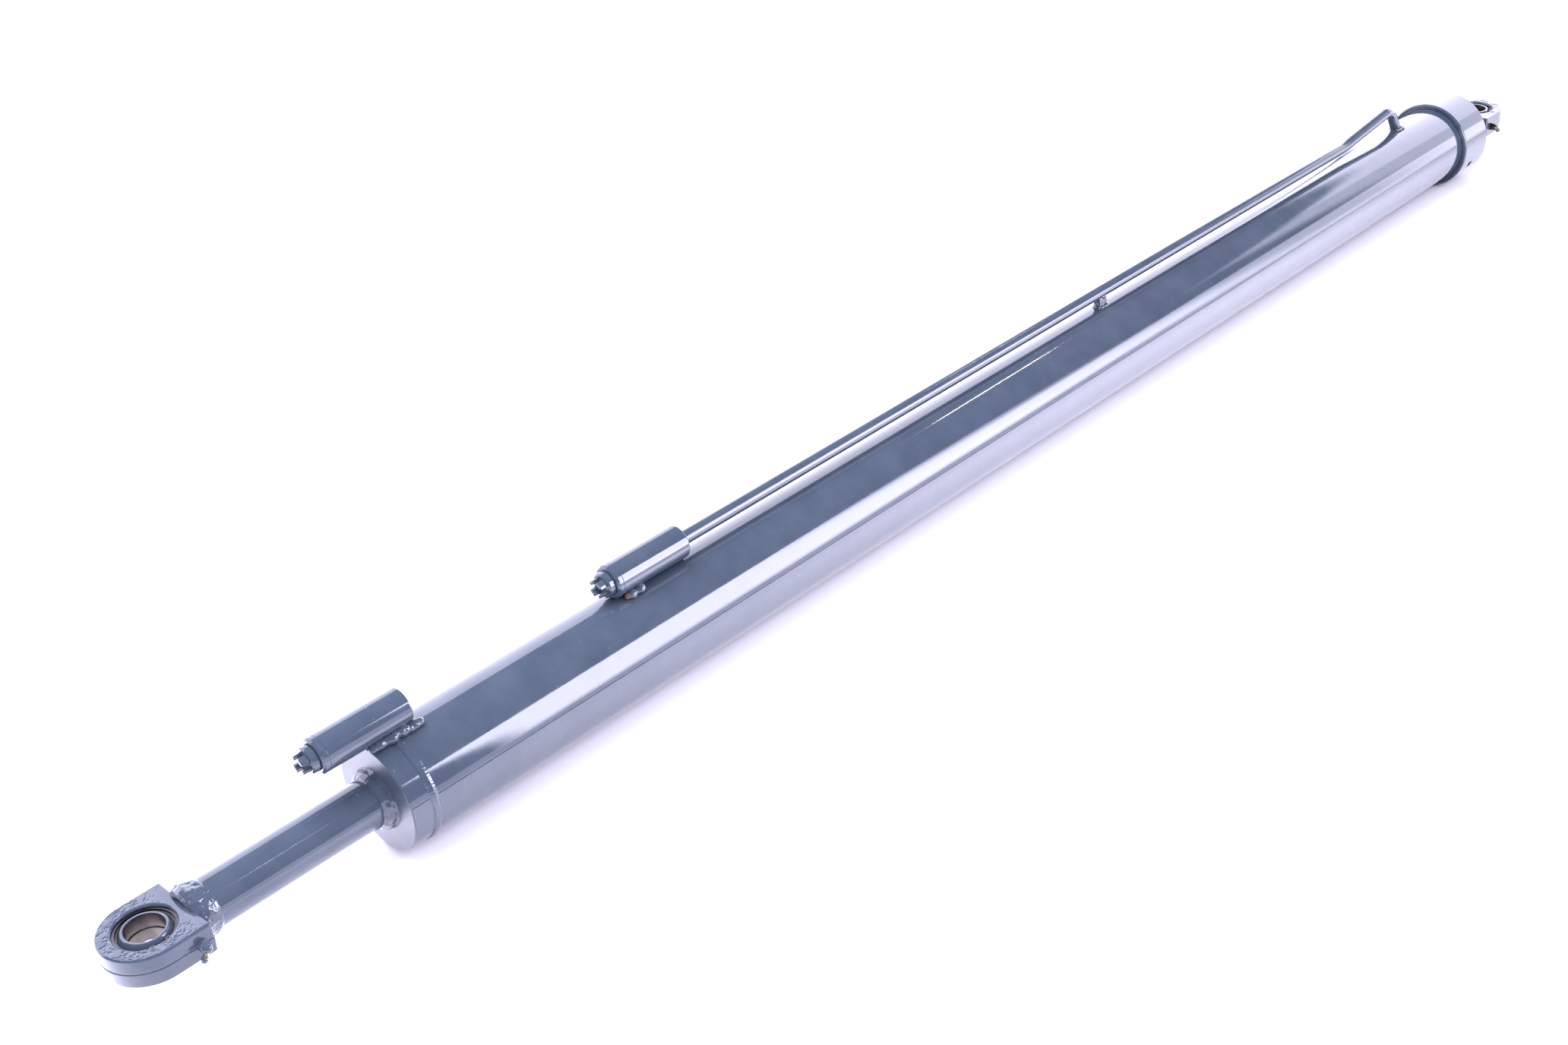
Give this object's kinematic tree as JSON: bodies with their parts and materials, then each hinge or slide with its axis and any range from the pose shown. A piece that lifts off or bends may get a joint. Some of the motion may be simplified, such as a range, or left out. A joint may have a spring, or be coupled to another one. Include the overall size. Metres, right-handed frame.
{
  "type": "hydraulic cylinder",
  "caption": "Long double-acting hydraulic cylinder, retracted, with a spherical-bearing eye at each end, two port housings and a transfer pipe to the rod end.",
  "frame": {"origin": "centre of the base eye's pin bore", "axes": "+X along the cylinder's axis to the rod eye, +Z along both eyes' bores, up"},
  "size_m": [2.411, 0.1254, 0.1565],
  "materials": {
    "painted_steel": "gloss",
    "painted_plastic": "gloss",
    "bearing_steel": "satin",
    "spring_steel": "satin",
    "machined_steel": "satin",
    "chromed_rod": "polished",
    "nitrile_rubber": "matte",
    "seal_polymer": "matte"
  },
  "bodies": {
    "cylinder": {"barrel": "painted_steel", "base_bearing_circlips": "spring_steel", "base_bearing_race": "bearing_steel", "base_cap": "painted_steel", "base_cap_weld": "painted_steel", "base_eye": "painted_steel", "base_eye_weld": "painted_steel", "base_grease_nipple": "painted_steel", "base_port_adapter": "painted_steel", "base_port_housing": "painted_steel", "base_port_plug": "painted_plastic", "base_port_seal": "nitrile_rubber", "base_port_weld": "painted_steel", "base_valve_body": "machined_steel", "base_valve_spring": "spring_steel", "extension_tube": "painted_steel", "extension_tube_weld": "painted_steel", "gland": "painted_steel", "gland_backup_ring": "seal_polymer", "gland_o_ring": "nitrile_rubber", "pipe_clip": "painted_steel", "rod_guide_rings": "seal_polymer", "rod_port_adapter": "painted_steel", "rod_port_housing": "painted_steel", "rod_port_plug": "painted_plastic", "rod_port_seal": "nitrile_rubber", "rod_port_weld": "painted_steel", "rod_seal": "seal_polymer", "rod_valve_body": "machined_steel", "rod_valve_spring": "spring_steel", "rod_wiper": "seal_polymer", "transfer_pipe": "painted_steel", "transfer_pipe_weld": "painted_steel"},
    "base_bearing_seals": {"base_bearing_seals": "nitrile_rubber"},
    "base_bearing_ball": {"base_bearing_ball": "bearing_steel"},
    "rod_bearing_seals": {"rod_bearing_seals": "nitrile_rubber"},
    "rod_bearing_ball": {"rod_bearing_ball": "bearing_steel"},
    "base_valve_poppet": {"base_valve_poppet": "machined_steel"},
    "rod_valve_poppet": {"rod_valve_poppet": "machined_steel"},
    "piston_rings": {"piston_seal": "seal_polymer", "piston_energiser": "nitrile_rubber", "piston_wear_rings": "seal_polymer"},
    "rod": {"piston_rod": "chromed_rod", "piston": "machined_steel", "piston_nut": "machined_steel", "piston_o_ring": "nitrile_rubber", "rod_eye": "painted_steel", "rod_eye_weld": "painted_steel", "rod_bearing_race": "bearing_steel", "rod_bearing_circlips": "spring_steel", "rod_grease_nipple": "painted_steel"}
  },
  "joints": [
    {"name": "base_bearing_spin", "type": "hinge", "parent": "cylinder", "child": "base_bearing_seals", "pos_m": [0, 0, 0], "axis": [0, 0, 1], "continuous": true},
    {"name": "base_bearing_tilt", "type": "hinge", "parent": "base_bearing_seals", "child": "base_bearing_ball", "pos_m": [0, 0, 0], "axis": [1, 0, 0], "range_deg": [-6, 6]},
    {"name": "piston_slide", "type": "slide", "parent": "cylinder", "child": "piston_rings", "axis": [1, 0, 0], "range_m": [0, 1.725]},
    {"name": "rod_spin", "type": "hinge", "parent": "piston_rings", "child": "rod", "pos_m": [0.346, 0, 0], "axis": [1, 0, 0], "continuous": true},
    {"name": "rod_bearing_spin", "type": "hinge", "parent": "rod", "child": "rod_bearing_seals", "pos_m": [2.328, 0, 0], "axis": [0, 0, 1], "continuous": true},
    {"name": "rod_bearing_tilt", "type": "hinge", "parent": "rod_bearing_seals", "child": "rod_bearing_ball", "pos_m": [2.328, 0, 0], "axis": [1, 0, 0], "range_deg": [-6, 6]},
    {"name": "base_valve_slide", "type": "slide", "parent": "cylinder", "child": "base_valve_poppet", "axis": [-1, 0, 0], "range_m": [0, 0.0016], "stiffness_N_per_m": 300, "springref_m": -0.001, "deforming": ["base_valve_spring"]},
    {"name": "rod_valve_slide", "type": "slide", "parent": "cylinder", "child": "rod_valve_poppet", "axis": [-1, 0, 0], "range_m": [0, 0.0016], "stiffness_N_per_m": 300, "springref_m": -0.001, "deforming": ["rod_valve_spring"]}
  ]
}
